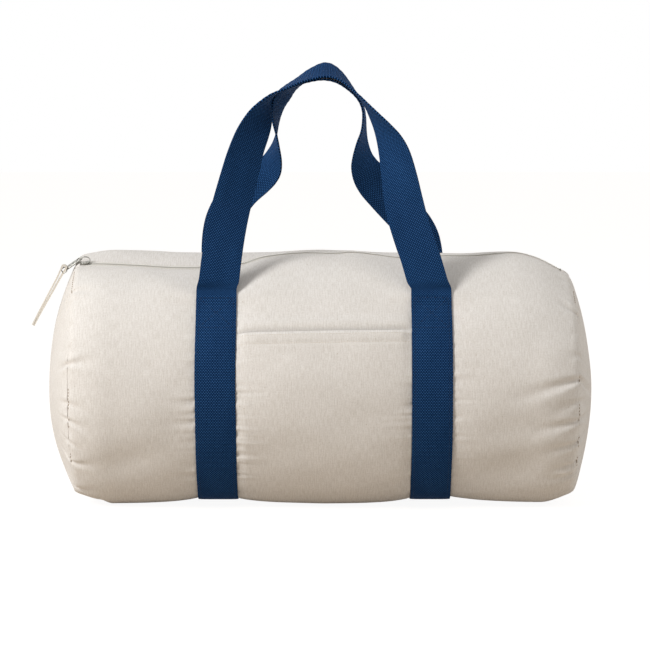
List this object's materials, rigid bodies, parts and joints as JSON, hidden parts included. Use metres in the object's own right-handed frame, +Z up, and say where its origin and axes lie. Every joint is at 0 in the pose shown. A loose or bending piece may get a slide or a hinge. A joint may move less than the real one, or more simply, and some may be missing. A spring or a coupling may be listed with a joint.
{
  "type": "barrel bag",
  "caption": "Soft canvas barrel bag with round end panels, webbing straps that become two carrying handles, a zip along the top and a slip pocket on the front.",
  "frame": {"origin": "middle of the flat base that the bag rests on", "axes": "+Z up, +X along the barrel to the right as seen from the pocket side, -Y the pocket side"},
  "size_m": [0.5376, 0.2558, 0.4207],
  "materials": {
    "canvas": "natural cotton canvas",
    "webbing": "ribbed navy webbing",
    "navy_thread": "sewing thread",
    "natural_thread": "sewing thread",
    "zip_tape": "woven tape",
    "zip_coil": "coiled filament",
    "metal": "nickel plated",
    "pull_cotton": "cotton tape",
    "binding": "twill tape"
  },
  "bodies": {
    "bag": {"body_panel": "canvas", "left_end_panel": "canvas", "right_end_panel": "canvas", "left_seam_binding": "binding", "right_seam_binding": "binding", "front_pocket_panel": "canvas", "left_girth_strap": "webbing", "right_girth_strap": "webbing", "strap_box_stitches": "navy_thread", "strap_edge_stitches": "navy_thread", "pocket_hem_stitches": "natural_thread", "left_zip_end_coil": "zip_coil", "right_zip_end_coil": "zip_coil", "left_zip_end_tape": "zip_tape", "right_zip_end_tape": "zip_tape", "left_zip_stop": "metal", "right_zip_stop": "metal", "left_zip_end_tab": "canvas", "right_zip_end_tab": "canvas"},
    "front_lip": {"front_mouth_lip": "canvas", "front_lip_topstitch": "natural_thread", "front_zip_tape": "zip_tape", "front_zip_coil": "zip_coil"},
    "back_lip": {"back_mouth_lip": "canvas", "back_lip_topstitch": "natural_thread", "back_zip_tape": "zip_tape", "back_zip_coil": "zip_coil"},
    "front_handle": {"front_handle_loop": "webbing"},
    "back_handle": {"back_handle_loop": "webbing"},
    "zip_slider": {"zip_slider": "metal", "zip_slider_bridge": "metal"},
    "zip_pull": {"zip_pull_bar": "metal"},
    "pull_tab": {"zip_pull_tab": "pull_cotton"}
  },
  "joints": [
    {"name": "front_handle_swing", "type": "hinge", "parent": "bag", "child": "front_handle", "pos_m": [0, -0.0957, 0.196], "axis": [1, 0, 0], "range_deg": [0, 150]},
    {"name": "back_handle_swing", "type": "hinge", "parent": "bag", "child": "back_handle", "pos_m": [0, 0.0957, 0.196], "axis": [-1, 0, 0], "range_deg": [0, 150]},
    {"name": "front_lip_open", "type": "hinge", "parent": "bag", "child": "front_lip", "pos_m": [0, -0.052, 0.22838], "axis": [1, 0, 0], "range_deg": [0, 75]},
    {"name": "back_lip_open", "type": "hinge", "parent": "bag", "child": "back_lip", "pos_m": [0, 0.052, 0.22838], "axis": [-1, 0, 0], "range_deg": [0, 75]},
    {"name": "zip_slide", "type": "slide", "parent": "bag", "child": "zip_slider", "axis": [0.9978, 0.0665, 0], "range_m": [0, 0.451], "deforming": ["zip_pull_tab"]},
    {"name": "pull_swing", "type": "hinge", "parent": "zip_slider", "child": "zip_pull", "pos_m": [-0.23319, -0.03035, 0.23542], "axis": [-0.0665, 0.9978, 0], "range_deg": [0, 205]},
    {"name": "tab_swing", "type": "hinge", "parent": "zip_pull", "child": "pull_tab", "pos_m": [-0.24949, -0.03143, 0.22673], "axis": [-0.0665, 0.9978, 0], "range_deg": [0, 95]}
  ],
  "couplings": [
    {"joint": "pull_swing", "follows": "zip_slide", "rad_per_m": 7.86}
  ]
}
